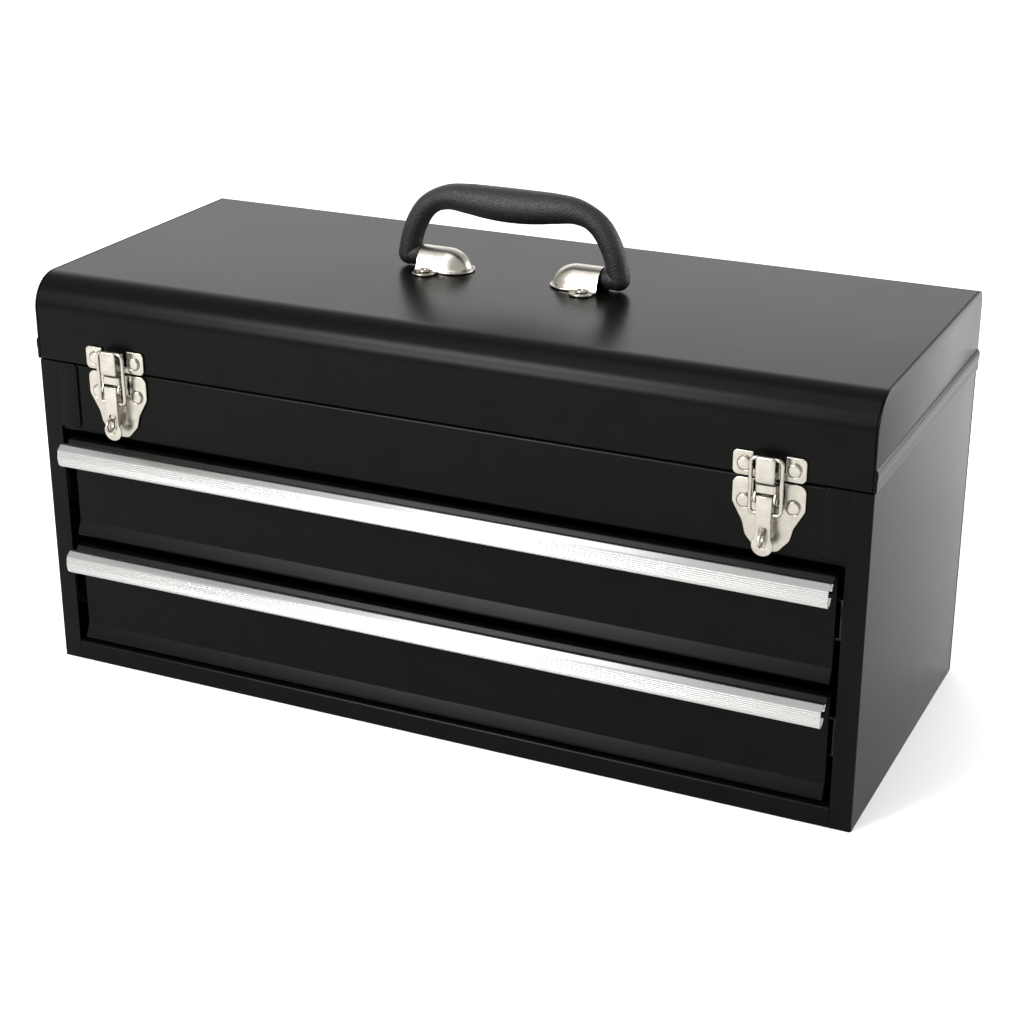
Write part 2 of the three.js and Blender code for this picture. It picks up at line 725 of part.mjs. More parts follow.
const latchPieces = {
  latch_catch: latchCatch(),
  latch_base: latchBase(),
  latch_staple: latchStaple(),
  latch_lever: latchLever(),
  latch_bail: latchBail(),
  lever_pin: leverPinGeometry(),
};
const catchRivet = rivet(rivetHead, catchFace, frontY + sheet);
const baseRivet = rivet(rivetHead, baseFace, railFace + sheet);

[['left', -latchX], ['right', latchX]].forEach(([side, middle]) => {
  Object.entries(latchPieces).forEach(([name, geometry]) => {
    add(`${side}_${name}`, geometry.clone().translate(middle, 0, 0), nickel);
  });
  [['inner', -Math.sign(middle)], ['outer', Math.sign(middle)]].forEach(([place, sign]) => {
    const x = middle + sign * latchRivet;
    add(`${side}_catch_rivet_${place}`, catchRivet.clone().translate(x, 0, catchRivetZ), nickel);
    add(`${side}_base_rivet_${place}`, baseRivet.clone().translate(x, 0, baseRivetZ), nickel);
  });
});

// Handle brackets: a flange with two ears, and a dome with a half-oval section that closes in a rounded nose
function dome(half, height, length, mouth, floor) {
  const section = [];
  for (let k = 0; k <= 12; k++) {
    const turn = (Math.PI * k) / 12;
    section.push(at(handleY - half * Math.cos(turn), floor + height * Math.sin(turn)));
  }
  const barrel = extrude('x', section, bracketBarrel, mouth);
  const nose = new THREE.SphereGeometry(1, 24, 12).rotateX(Math.PI / 2).scale(length, half, height)
    .translate(bracketBarrel, handleY, floor);
  return [barrel, nose];
}

function handleBracket() {
  const floor = lidTop + gap;
  const tip = bracketMouth - bracketLength - flangeEdge;
  const toe = flangeHalf - 0.1;
  const base = extrude('z', rounded([
    at(bracketMouth, handleY - flangeHalf),
    at(bracketMouth, handleY + flangeHalf),
    at(tip, handleY + flangeHalf),
    at(tip, handleY - flangeHalf),
  ], [0.8, 0.8, toe, toe], true, 8), floor, floor + plate);
  const ears = [-1, 1].map((side) => {
    const ends = [0, side * earOffset].sort((a, b) => a - b).map((y) => handleY + y);
    return join(
      bar('z', earRadius, floor, floor + plate, earX, handleY + side * earOffset, 20),
      box(earX - earRadius, bracketMouth, ends[0], ends[1], floor, floor + plate),
    );
  });
  const outer = dome(domeHalf, domeHeight, bracketNose, bracketMouth, floor);
  const past = bracketMouth + 1;
  const under = box(0, past, handleY - domeHalf, handleY + domeHalf, floor - domeHeight - 1, floor);
  const hollow = dome(domeHalf - plate, domeHeight - plate, bracketNose - plate, past, floor - gap);
  const holes = rivetHoles('z', bracketRivets().slice(2), floor);
  return cut(join(base, ...ears, ...outer), under, ...hollow, ...holes);
}

function bracketRivets() {
  return [-earX, earX].flatMap((x) => [[x, handleY - earOffset], [x, handleY + earOffset]]);
}

const bracketGeometry = handleBracket();
add('right_handle_bracket', bracketGeometry, nickel);
add('left_handle_bracket', mirrored(bracketGeometry), nickel);
bracketRivets().forEach(([x, y], i) => {
  const name = `${i < 2 ? 'left' : 'right'}_bracket_rivet_${i % 2 ? 'rear' : 'front'}`;
  const upright = rivet(bracketRivetHead, -gap - plate, sheet).rotateX(-Math.PI / 2);
  add(name, upright.translate(x, y, lidTop), nickel);
});

// Handle: one moulded loop, its stubs turning in the brackets
function handle() {
  const half = [
    [handleFoot, 1.5], [handleFoot - 4, handleRise * 0.47], [handleFoot - 12, handleRise * 0.8],
    [handleFoot - 28, handleRise * 0.98], [handleFoot - 46, handleRise],
  ];
  const points = [
    ...half.map(([x, z]) => new THREE.Vector3(-x, handleY, handleZ + z)),
    ...half.map(([x, z]) => new THREE.Vector3(x, handleY, handleZ + z)).reverse(),
  ];
  const path = new THREE.CatmullRomCurve3(points, false, 'centripetal');
  const shape = circle(gripRadius, 12);
  const loop = new THREE.ExtrudeGeometry(shape, { steps: 30, extrudePath: path, bevelEnabled: false });
  const swellLength = (handleFoot - 28) / swellRadius;
  const swell = new THREE.SphereGeometry(swellRadius, 14, 10).rotateZ(Math.PI / 2).scale(swellLength, 1, 1)
    .translate(0, handleY, handleZ + handleRise - swellDrop);
  const feet = [-1, 1].map((side) => new THREE.SphereGeometry(gripRadius, 14, 10).rotateZ(Math.PI / 2)
    .translate(side * handleFoot, handleY, handleZ));
  const stubs = [-1, 1].map((side) => {
    const [from, to] = [bracketBarrel - 2, handleFoot].map((x) => side * x).sort((a, b) => a - b);
    return bar('x', stubRadius, from, to, handleY, handleZ, 14);
  });
  return join(loop, swell, ...feet, ...stubs);
}

add('handle', handle(), gripPlastic);

export default chest;
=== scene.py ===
import json
import math

import bmesh
import bpy
import numpy as np
from mathutils import Matrix, Vector


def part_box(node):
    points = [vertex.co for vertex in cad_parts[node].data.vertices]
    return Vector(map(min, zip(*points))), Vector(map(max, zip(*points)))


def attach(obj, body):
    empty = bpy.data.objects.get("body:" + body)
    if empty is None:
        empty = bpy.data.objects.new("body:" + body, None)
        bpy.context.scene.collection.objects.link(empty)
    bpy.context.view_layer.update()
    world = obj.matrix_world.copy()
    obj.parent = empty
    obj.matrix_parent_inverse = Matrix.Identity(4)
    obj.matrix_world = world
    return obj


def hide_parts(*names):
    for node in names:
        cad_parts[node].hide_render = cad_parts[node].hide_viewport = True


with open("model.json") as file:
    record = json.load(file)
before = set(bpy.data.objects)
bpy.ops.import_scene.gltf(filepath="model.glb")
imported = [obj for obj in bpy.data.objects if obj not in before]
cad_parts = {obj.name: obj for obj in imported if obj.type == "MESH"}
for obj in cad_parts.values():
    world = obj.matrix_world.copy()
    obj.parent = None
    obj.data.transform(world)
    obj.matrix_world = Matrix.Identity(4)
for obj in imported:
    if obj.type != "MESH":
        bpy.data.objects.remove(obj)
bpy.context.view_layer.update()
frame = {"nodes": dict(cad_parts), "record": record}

mm = 0.001


# a CAD node's lowest and highest corner in millimetres
def nodeBox(name):
    low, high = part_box(name)
    return np.array(low) / mm, np.array(high) / mm


def unit(v):
    return v / np.linalg.norm(v, axis=-1, keepdims=True)


# the points of a line, with each corner turned into an arc that touches both of its sides
def rounded(points, radii, closed=False, steps=8):
    points = [np.array(p, float) for p in points]
    radii = np.broadcast_to(radii, len(points))
    line = []
    for i, corner in enumerate(points):
        if radii[i] == 0 or (not closed and i in (0, len(points) - 1)):
            line.append(corner[None])
            continue
        before = unit(points[i - 1] - corner)
        after = unit(points[(i + 1) % len(points)] - corner)
        half = (math.pi - math.acos(np.clip(before @ after, -1, 1))) / 2
        centre = corner + unit(before + after) * radii[i] / math.cos(half)
        spoke = corner + before * radii[i] * math.tan(half) - centre
        sense = np.sign(before[1] * after[0] - before[0] * after[1])
        turn = sense * np.linspace(0, 2 * half, steps + 1)
        arc = np.stack([spoke[0] * np.cos(turn) - spoke[1] * np.sin(turn),
                        spoke[0] * np.sin(turn) + spoke[1] * np.cos(turn)], axis=1)
        line.append(centre + arc)
    return np.vstack(line)


# a line moved sideways by a distance, square to the mean of the two stretches that meet at each point
def beside(line, distance):
    steps = np.diff(line, axis=0)
    steps = unit(np.vstack([steps[:1], steps, steps[-1:]]))
    back, ahead = steps[:-1], steps[1:]
    along = unit(back + ahead)
    lean = np.maximum((along * ahead).sum(axis=1, keepdims=True), 0.5)
    return line + np.stack([-along[:, 1], along[:, 0]], axis=1) * distance / lean


# the outline of a folded sheet: the line through its middle, moved half the thickness to each side
def folded(points, radii, thickness, steps=8):
    line = rounded(points, radii, steps=steps)
    return np.vstack([beside(line, thickness / 2), beside(line, -thickness / 2)[::-1]])


def circle(radius, sides, middle=(0, 0)):
    turn = np.linspace(0, 2 * math.pi, sides, endpoint=False)
    return np.stack([np.cos(turn), np.sin(turn)], axis=1) * radius + middle


def rectangle(x0, x1, y0, y1, radius, steps=6):
    return rounded([(x0, y0), (x1, y0), (x1, y1), (x0, y1)], radius, True, steps)


# turns a closed shell's faces outwards: the sum of the signed volumes under its faces is then positive
def outward(points, faces):
    volume = 0
    for size in {len(face) for face in faces}:
        corners = points[np.array([face for face in faces if len(face) == size])]
        first = corners[:, :1]
        volume += np.einsum("fij,fij->", np.cross(first, corners[:, 1:-1]), corners[:, 2:])
    return points, faces if volume > 0 else [face[::-1] for face in faces]


# rings of points joined ring to ring, with a flat cap on each end
def shell(rings):
    index = np.arange(rings.shape[0] * rings.shape[1]).reshape(rings.shape[:2])
    here, ahead = index[:-1], index[1:]
    quads = np.stack([here, np.roll(here, -1, 1), np.roll(ahead, -1, 1), ahead], axis=-1)
    faces = quads.reshape(-1, 4).tolist() + [index[0][::-1].tolist(), index[-1].tolist()]
    return outward(rings.reshape(-1, 3), faces)


# for each axis, which of x, y and z hold a flat point's two values and its height
order = {"x": [1, 2, 0], "y": [0, 2, 1], "z": [0, 1, 2]}


# flat points (a, b) at a height c placed square to an axis
def square(axis, flat, height):
    points = np.zeros((len(flat), 3))
    points[:, order[axis][:2]] = flat
    points[:, order[axis][2]] = height
    return points


# an outline carried straight along an axis
def swept(outline, axis, *stations):
    return shell(np.stack([square(axis, outline, station) for station in stations]))


def block(low, high):
    corners = [(low[0], low[1]), (high[0], low[1]), (high[0], high[1]), (low[0], high[1])]
    return swept(corners, "z", low[2], high[2])


# a profile (radius, height) turned round an axis through middle
def turned(profile, axis, middle, sides=32):
    spokes = circle(1, sides)
    rings = [square(axis, spokes * radius, height) for radius, height in profile]
    return shell(np.stack(rings) + middle)


# a round section carried along a flat path: each ring is spanned by the normal of the path's plane and by
# what is square to both that and the path; the radii may change along the path
def tube(path, radius, normal, sides):
    along = unit(np.gradient(path, axis=0))
    normal = np.broadcast_to(unit(np.array(normal, float)), path.shape)
    other = np.cross(normal, along)
    spokes = circle(1, sides)[None]
    section = spokes[..., :1] * normal[:, None] + spokes[..., 1:] * other[:, None]
    return shell(path[:, None] + np.broadcast_to(radius, len(path))[:, None, None] * section)


# a flat plate cut from outlines, the first round the others, with rounded edges
def stamped(axis, middle, thickness, edge, *outlines):
    curve = bpy.data.curves.new("plate", "CURVE")
    curve.dimensions = "2D"
    curve.fill_mode = "BOTH"
    curve.extrude = thickness / 2 - edge
    curve.bevel_depth = edge
    curve.bevel_resolution = 2
    curve.offset = -edge
    for outline in outlines:
        spline = curve.splines.new("POLY")
        spline.points.add(len(outline) - 1)
        spline.points.foreach_set("co", np.pad(outline, ((0, 0), (0, 2))).ravel())
        spline.use_cyclic_u = True
    holder = bpy.data.objects.new("plate", curve)
    mesh = bpy.data.meshes.new_from_object(holder)
    solid = bmesh.new()
    solid.from_mesh(mesh)
    bmesh.ops.remove_doubles(solid, verts=solid.verts, dist=1e-4)
    local = np.array([v.co for v in solid.verts])
    faces = [[v.index for v in face.verts] for face in solid.faces]
    solid.free()
    bpy.data.objects.remove(holder)
    bpy.data.curves.remove(curve)
    bpy.data.meshes.remove(mesh)
    points = np.zeros_like(local)
    points[:, order[axis]] = local
    points[:, order[axis][2]] += middle
    return outward(points, faces)


def moved(shells, dx=0):
    return [(points + (dx, 0, 0), faces) for points, faces in shells]


def mirrored(shells):
    return [(points * (-1, 1, 1), [face[::-1] for face in faces]) for points, faces in shells]


# one object from several shells; edge rounds its sharp edges by that many millimetres
def makePiece(name, shells, finish, body, stands=(), edge=0, sharp=38):
    starts = np.cumsum([0] + [len(points) for points, faces in shells])
    faces = [[v + int(start) for v in face] for start, (_, group) in zip(starts, shells) for face in group]
    mesh = bpy.data.meshes.new(name)
    mesh.from_pydata(np.vstack([points for points, _ in shells]) * mm, [], faces)
    mesh.shade_smooth()
    mesh.set_sharp_from_angle(angle=math.radians(sharp))
    mesh.materials.append(finish)
    piece = bpy.data.objects.new(name, mesh)
    bpy.context.scene.collection.objects.link(piece)
    if edge:
        bevel = piece.modifiers.new("edges", "BEVEL")
        bevel.width = edge * mm
        bevel.segments = 2
        bevel.limit_method = "ANGLE"
        bevel.angle_limit = math.radians(sharp)
        bevel.harden_normals = True
    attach(piece, body)
    if stands:
        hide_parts(*stands)
    return piece


# an sRGB hex colour as linear red, green, blue and alpha
def linear(hexColour):
    channels = np.array([int(hexColour[i:i + 2], 16) / 255 for i in (0, 2, 4)])
    channels = np.where(channels <= 0.04045, channels / 12.92, ((channels + 0.055) / 1.055) ** 2.4)
    return (*channels.tolist(), 1.0)


# a node with its settings, which are its own or its inputs', and with links into its inputs
def addNode(tree, kind, settings, links=None):
    node = tree.nodes.new(kind)
    for key, value in settings.items():
        if isinstance(key, int) or key in node.inputs:
            node.inputs[key].default_value = value
        else:
            setattr(node, key, value)
    for key, output in (links or {}).items():
        tree.links.new(output, node.inputs[key])
    return node


def startMaterial(name):
    material = bpy.data.materials.new(name)
    material.use_nodes = True
    tree = material.node_tree
    tree.nodes.clear()
    return material, tree, addNode(tree, "ShaderNodeTexCoord", {}).outputs["Object"]


def endMaterial(tree, settings, links):
    shader = addNode(tree, "ShaderNodeBsdfPrincipled", settings, links)
    addNode(tree, "ShaderNodeOutputMaterial", {}, {"Surface": shader.outputs["BSDF"]})


# grains to the metre, from the size of one grain in millimetres
def perMetre(size):
    return 1 / (size * mm)


# a value that wanders between two limits with a noise whose grain has a size in millimetres
def wander(tree, place, size, low, high, detail=2):
    noise = addNode(tree, "ShaderNodeTexNoise", {"Scale": perMetre(size), "Detail": detail},
                    {"Vector": place})
    spread = addNode(tree, "ShaderNodeMapRange",
                     {"From Min": 0.3, "From Max": 0.7, "To Min": low, "To Max": high},
                     {"Value": noise.outputs["Fac"]})
    return spread.outputs["Result"]


# the settings of a mix node between a finish's dark and light colours; the mixed colour is its output 2
def shades(finish):
    return {"data_type": "RGBA", 6: linear(finish["dark"]), 7: linear(finish["light"])}


# Satin polyester powder coat on steel: a slight orange peel and small changes of gloss
powderCoat = {"dark": "050504", "light": "070706", "roughness": (0.27, 0.285), "peel": 1.4, "depth": 0.01,
              "cloud": 60, "ior": 1.45, "specular": 0.062}


def makePowderCoat():
    p = powderCoat
    material, tree, place = startMaterial("satin black powder coat")
    gloss = wander(tree, place, p["cloud"], *p["roughness"])
    colour = addNode(tree, "ShaderNodeMix", shades(p), {0: wander(tree, place, p["cloud"] / 3, 0, 1)})
    peel = addNode(tree, "ShaderNodeTexNoise", {"Scale": perMetre(p["peel"]), "Detail": 1}, {"Vector": place})
    bump = addNode(tree, "ShaderNodeBump", {"Strength": 0.35, "Distance": p["depth"] * mm},
                   {"Height": peel.outputs["Fac"]})
    endMaterial(tree, {"IOR": p["ior"], "Specular IOR Level": p["specular"]},
                {"Base Color": colour.outputs[2], "Roughness": gloss, "Normal": bump.outputs["Normal"]})
    return material


# Extruded aluminium, satin anodised: die lines run along its length
aluminium = {"dark": "b0b0af", "light": "b4b4b2", "roughness": (0.27, 0.31), "line": 0.35, "stretch": 0.002}


def makeAluminium():
    p = aluminium
    material, tree, place = startMaterial("satin anodised aluminium")
    drawn = addNode(tree, "ShaderNodeMapping", {"Scale": (p["stretch"], 1, 1)}, {"Vector": place})
    along = drawn.outputs["Vector"]
    colour = addNode(tree, "ShaderNodeMix", shades(p), {0: wander(tree, along, p["line"], 0, 1, 3)})
    gloss = wander(tree, along, p["line"] * 3, *p["roughness"])
    endMaterial(tree, {"Metallic": 1.0}, {"Base Color": colour.outputs[2], "Roughness": gloss})
    return material


# Nickel plate over stamped steel: warm, fairly bright, with faint handling haze
nickelPlate = {"dark": "9a968d", "light": "a7a39a", "roughness": (0.26, 0.33), "haze": 5, "grain": 0.7}


def makeNickel():
    p = nickelPlate
    material, tree, place = startMaterial("nickel plated steel")
    colour = addNode(tree, "ShaderNodeMix", shades(p), {0: wander(tree, place, p["haze"], 0, 1, 3)})
    gloss = wander(tree, place, p["haze"] * 0.7, *p["roughness"])
    grain = addNode(tree, "ShaderNodeTexNoise", {"Scale": perMetre(p["grain"]), "Detail": 2},
                    {"Vector": place})
    bump = addNode(tree, "ShaderNodeBump", {"Strength": 0.1, "Distance": 0.012 * mm},
                   {"Height": grain.outputs["Fac"]})
    endMaterial(tree, {"Metallic": 1.0},
                {"Base Color": colour.outputs[2], "Roughness": gloss, "Normal": bump.outputs["Normal"]})
    return material


# Bright zinc plate on rolled strip: cold grey with a fine rolled grain
zincPlate = {"dark": "7f8488", "light": "9da1a4", "roughness": (0.28, 0.42), "grain": 0.8, "stretch": 0.05}


def makeZinc():
    p = zincPlate
    material, tree, place = startMaterial("bright zinc plated strip")
    rolled = addNode(tree, "ShaderNodeMapping", {"Scale": (1, p["stretch"], 1)}, {"Vector": place})
    lines = wander(tree, rolled.outputs["Vector"], p["grain"], 0, 1, 3)
    colour = addNode(tree, "ShaderNodeMix", shades(p), {0: lines})
    gloss = wander(tree, place, p["grain"] * 8, *p["roughness"])
    endMaterial(tree, {"Metallic": 1.0}, {"Base Color": colour.outputs[2], "Roughness": gloss})
    return material


# Moulded polypropylene grip with a spark-eroded grain, drawn a little coarser than the real 0.4 mm
gripPlastic = {"dark": "090909", "light": "151515", "roughness": (0.45, 0.6), "grain": 0.85, "depth": 0.26,
               "specular": 0.32}


def makeGrip():
    p = gripPlastic
    material, tree, place = startMaterial("grained black polypropylene")
    grain = addNode(tree, "ShaderNodeTexNoise",
                    {"Scale": perMetre(p["grain"]), "Detail": 3, "Roughness": 0.6}, {"Vector": place})
    pits = addNode(tree, "ShaderNodeTexVoronoi", {"Scale": perMetre(p["grain"] * 1.4)}, {"Vector": place})
    height = addNode(tree, "ShaderNodeMath", {"operation": "ADD"},
                     {0: grain.outputs["Fac"], 1: pits.outputs["Distance"]})
    colour = addNode(tree, "ShaderNodeMix", shades(p), {0: wander(tree, place, p["grain"] * 1.2, 0, 1)})
    gloss = wander(tree, place, p["grain"] * 2, *p["roughness"])
    bump = addNode(tree, "ShaderNodeBump", {"Strength": 0.7, "Distance": p["depth"] * mm},
                   {"Height": height.outputs["Value"]})
    endMaterial(tree, {"Specular IOR Level": p["specular"]},
                {"Base Color": colour.outputs[2], "Roughness": gloss, "Normal": bump.outputs["Normal"]})
    return material


paint = makePowderCoat()
silver = makeAluminium()
nickel = makeNickel()
zinc = makeZinc()
grip = makeGrip()
finishes = {"black_paint": paint, "aluminium": silver, "nickel": nickel, "zinc_steel": zinc,
            "grip_plastic": grip}
for part in frame["record"]["subparts"]:
    node = frame["nodes"][part["node"]]
    node.data.materials.clear()
    node.data.materials.append(finishes[part["material_slot"]])
print("materials:", ", ".join(material.name for material in finishes.values()))

# Places that several pieces share, in millimetres
sideLow, sideHigh = nodeBox("right_side_panel")
halfWidth, frontY, caseTop = sideHigh[0], sideLow[1], sideHigh[2]
backY = nodeBox("back_panel")[1][1]
coverHigh = nodeBox("lid_cover")[1]
innerHalf = coverHigh[0]
seamGap = 0.5
lidBottom, lidTop = caseTop + seamGap, coverHigh[2]
railLow, railHigh = nodeBox("front_rail")
railBottom = railLow[2]
railFace = railLow[1]
sheet = 1.0
gap = 0.3


# Case: side panels with a flange beside the drawers and a wider tab in front of the rail
case = {"jamb": 12.4, "tab": 26, "tabCorner": 3, "bend": 0.9, "edge": 0.42, "rim": 8, "railFlange": 12,
        "railBend": 1.2, "bottomRail": 12, "bottomFold": 9}


def sidePanelShells():
    c = case
    rear = backY - 2 * sheet - gap + sheet / 2
    wall = halfWidth - sheet / 2
    front = frontY + sheet / 2
    seam = halfWidth - c["jamb"]
    channel = swept(folded([(seam, rear), (wall, rear), (wall, front), (seam, front)], c["bend"], sheet),
                    "z", 0, caseTop)
    tab = stamped("y", front, sheet, c["edge"], rounded(
        [(seam + 0.1, railBottom + c["tabCorner"]), (seam + 0.1, caseTop), (halfWidth - c["tab"], caseTop),
         (halfWidth - c["tab"], railBottom + c["tabCorner"])], [0, 0, c["tabCorner"], c["tabCorner"]], True))
    rimFront = railFace + sheet / 2 + c["railFlange"] + gap
    rim = block((halfWidth - c["rim"], rimFront, caseTop - sheet), (wall, rear - sheet / 2 - gap, caseTop))
    return [channel, tab, rim]


for side, place in (("right", 1), ("left", -1)):
    shells = sidePanelShells()
    makePiece(side + "_side_sheet", shells if place > 0 else mirrored(shells), paint, "case",
              [side + "_side_panel"])


# the front rail is a channel whose rounded top bend shows behind the tabs; the bottom rail is an angle
def railShells():
    c = case
    face, top, low = railFace + sheet / 2, railHigh[2] - sheet / 2, railBottom + sheet / 2
    back = face + c["railFlange"]
    profile = folded([(back, top), (face, top), (face, low), (back, low)], c["railBend"], sheet, 10)
    return [swept(profile, "x", -innerHalf, innerHalf)]


def bottomRailShells():
    c = case
    face, top = frontY + sheet / 2, c["bottomRail"] - sheet / 2
    half = halfWidth - c["jamb"] - gap
    profile = folded([(face + c["bottomFold"], top), (face, top), (face, 0)], c["railBend"], sheet, 10)
    return [swept(profile, "x", -half, half)]


makePiece("front_rail_channel", railShells(), paint, "case", ["front_rail"])
makePiece("bottom_rail_angle", bottomRailShells(), paint, "case", ["bottom_rail"])
print("case: side sheets and rails")

# Lid: one wrapped sheet with a large front roll, and two end panels with a pressed bead along the bottom
lid = {"frontRadius": 20, "backRadius": 8, "hem": 6, "endFlange": 9, "bend": 0.9, "edge": 0.25,
       "beadHeight": 13, "beadDepth": 1.3}


def lidLine(inset):
    return [(frontY + inset, lidBottom), (frontY + inset, lidTop - inset),
            (backY - inset, lidTop - inset), (backY - inset, lidBottom)]


def lidCoverShells():
    c, middle = lid, sheet / 2
    line = lidLine(middle)
    line[0] = (line[0][0], lidBottom + middle)
    line.insert(0, (frontY + c["hem"], lidBottom + middle))
    radii = [0, c["bend"], c["frontRadius"] - middle, c["backRadius"] - middle, 0]
    return [swept(folded(line, radii, sheet, 28), "x", -innerHalf, innerHalf)]


# the bead's profile is a smooth step: its depth over the panel, as a share, at each share of its height
def lidEndShells():
    c = lid
    inner = innerHalf + gap
    panel = stamped("x", (inner + halfWidth) / 2, halfWidth - inner, c["edge"],
                    rounded(lidLine(0), [0.6, c["frontRadius"], c["backRadius"], 0.6], True, 28))
    inset = 1.5 * sheet + gap
    line = lidLine(inset)
    line[0] = (line[0][0], lidBottom + sheet + gap)
    flange = swept(folded(line, [0, c["frontRadius"] - inset, c["backRadius"] - inset, 0], sheet, 20),
                   "x", halfWidth - c["endFlange"], inner + 0.1)
    share = np.linspace(0, 1, 33)
    rise = np.clip(share / 0.1, 0, 1) ** 0.5
    step = 1 / (1 + np.exp(-(share - 0.53) / 0.022))
    fall = np.clip((1 - share) / 0.16, 0, 1) ** 0.6
    depth = (0.4 + 0.35 * rise + 0.25 * step) * fall
    face = np.stack([halfWidth + c["beadDepth"] * depth, lidBottom + c["beadHeight"] * share], axis=1)
    root = halfWidth - sheet / 2
    profile = np.vstack([[(root, lidBottom)], face, [(root, lidBottom + c["beadHeight"])]])
    bead = swept(profile, "y", frontY + gap, backY - gap)
    return [panel, flange, bead]


makePiece("lid_wrap", lidCoverShells(), paint, "lid", ["lid_cover"], lid["edge"])
for side, place in (("right", 1), ("left", -1)):
    shells = lidEndShells()
    makePiece("lid_end_" + side, shells if place > 0 else mirrored(shells), paint, "lid",
              ["lid_%s_end" % side])
print("lid: wrap and ends")

# Drawers: a folded front whose top edge slopes forward as a lip, and a tray with a hemmed rim
drawer = {"height": 63.8, "recess": 4, "bevel": 9, "lipRun": 5.3, "lipDrop": 8, "fold": 9, "bend": 1.0,
          "hem": 1.7, "trayCorner": 2, "lowFold": 6.5, "lipBack": 0.3, "edge": 0.38}
# Pull: an extrusion clipped over the lip, with a smooth top strip, fine ribs and a turned-in lower edge
pull = {"wall": 1.0, "chamfer": 0.28, "ribs": 10, "ribDepth": 0.36, "ribsFrom": 0.44, "ribsTo": 0.81,
        "points": 420, "tip": 0.3, "onLip": (7.6, 3.6), "radii": [0, 0.7, 1.2, 3, 4, 2, 1, 1, 0],
        "line": [(8.8, -1), (12.2, -3.8), (12.9, -8.5), (12.1, -12.6), (10.2, -14.1), (8.3, -13),
                 (6.5, -9.9)]}


def drawerFrontShells(low, half):
    d = drawer
    top = low + d["height"]
    face = frontY + d["recess"] + sheet / 2
    line = [(frontY + d["lowFold"], low + sheet / 2), (frontY + sheet / 2, low + sheet / 2),
            (face, low + d["bevel"]), (face, top - sheet / 2), (frontY - d["lipBack"], top - sheet / 2),
            (frontY - d["lipRun"], top - d["lipDrop"])]
    front = swept(folded(line, d["bend"], sheet), "x", -half, half)
    returns = [block((x, face, low + d["bevel"]), (x + sheet, face + d["fold"], top - sheet))
               for x in (-half, half - sheet)]
    return [front, *returns]


# the tray is one sheet bent up from its bottom; its walls end in a folded-over hem. Each ring is an inset
# from the outside and a height: up the outside, over the hem and down the inside
def drawerTrayShells(tray):
    corner, hem = drawer["trayCorner"], drawer["hem"]
    (_, y0, z0), (x, y1, z1) = nodeBox(tray)

    def ring(inset, z):
        radius = max(corner - inset, 0.3)
        return square("z", rectangle(-x + inset, x - inset, y0 + inset, y1 - inset, radius), z)

    rings = [ring(1.2, z0), ring(0.4, z0 + 0.25), ring(0, z0 + 1.2), ring(0, z1 - 0.6), ring(0.35, z1),
             ring(hem - 0.35, z1), ring(hem, z1 - 0.6), ring(hem, z1 - 5), ring(sheet, z1 - 5.4),
             ring(sheet, z0 + 2), ring(sheet + 0.4, z0 + sheet + 0.25), ring(sheet + 1.2, z0 + sheet)]
    return [shell(np.stack(rings))]


# the pull's outline: its middle line, moved half the wall to each side, with narrow grooves in the outer
# side, each the fourth power of a half wave, between two shares of the line's length; inset thins the wall
def pullOutline(top, inset):
    d, p = drawer, pull
    half = p["wall"] / 2 - inset
    lip = unit(np.array([d["lipRun"] - d["lipBack"], d["lipDrop"] - sheet / 2]))
    start = np.array([d["lipBack"], -sheet / 2]) + lip[::-1] * (sheet / 2 + gap + p["wall"] / 2)
    onLip = [start + lip * (1, -1) * run for run in p["onLip"]]
    placed = [(frontY - x, top + z) for x, z in onLip + p["line"]]
    fine = rounded(placed, p["radii"], steps=6)
    run = np.concatenate([[0], np.cumsum(np.linalg.norm(np.diff(fine, axis=0), axis=1))])
    share = np.linspace(0, 1, p["points"])
    middle = np.stack([np.interp(share * run[-1], run, fine[:, k]) for k in (0, 1)], axis=1)
    phase = (share - p["ribsFrom"]) / (p["ribsTo"] - p["ribsFrom"])
    wave = np.abs(np.sin(phase * math.pi * p["ribs"])) ** 4 * ((phase > 0) & (phase < 1))
    across = unit(np.gradient(middle, axis=0))
    normal = np.stack([-across[:, 1], across[:, 0]], axis=1)
    side = 1 if normal[len(normal) // 2, 0] < 0 else -1
    out = middle + normal * side * np.minimum(half, p["wall"] / 2 - p["ribDepth"] * wave)[:, None]
    back = middle - normal * side * half
    tip = middle[-1] + across[-1] * (p["tip"] - inset)
    root = middle[0] - across[0] * (p["tip"] - inset)
    return np.vstack([out, [tip], back[::-6], [root]])


for level, tray in (("upper", "upper_drawer_tray"), ("lower", "lower_drawer_tray")):
    frontLow, frontHigh = nodeBox(level + "_drawer_front")
    body = level + "_drawer"
    top = frontLow[2] + drawer["height"]
    makePiece(level + "_front_sheet", drawerFrontShells(frontLow[2], frontHigh[0]), paint, body,
              [level + "_drawer_front"], drawer["edge"])
    makePiece(level + "_tray_pan", drawerTrayShells(tray), paint, body, [tray])
    full, slim = pullOutline(top, 0), pullOutline(top, pull["chamfer"])
    end, inner = frontHigh[0], frontHigh[0] - pull["chamfer"]
    rings = [square("x", line, x) for line, x in ((slim, -end), (full, -inner), (full, inner), (slim, end))]
    makePiece(level + "_pull_extrusion", [shell(np.stack(rings))], silver, body,
              [level + "_drawer_pull"], sharp=50)
print("drawers: fronts, trays and pulls")

# Ball slides: two channels and, between them, a cage strip with its balls in pockets
slide = {"wall": 1.2, "bend": 1.2, "ball": 2.4, "pitch": 7.5, "cageWall": 0.8, "rowEnds": (5, 4),
         "ballPlace": 3.4}


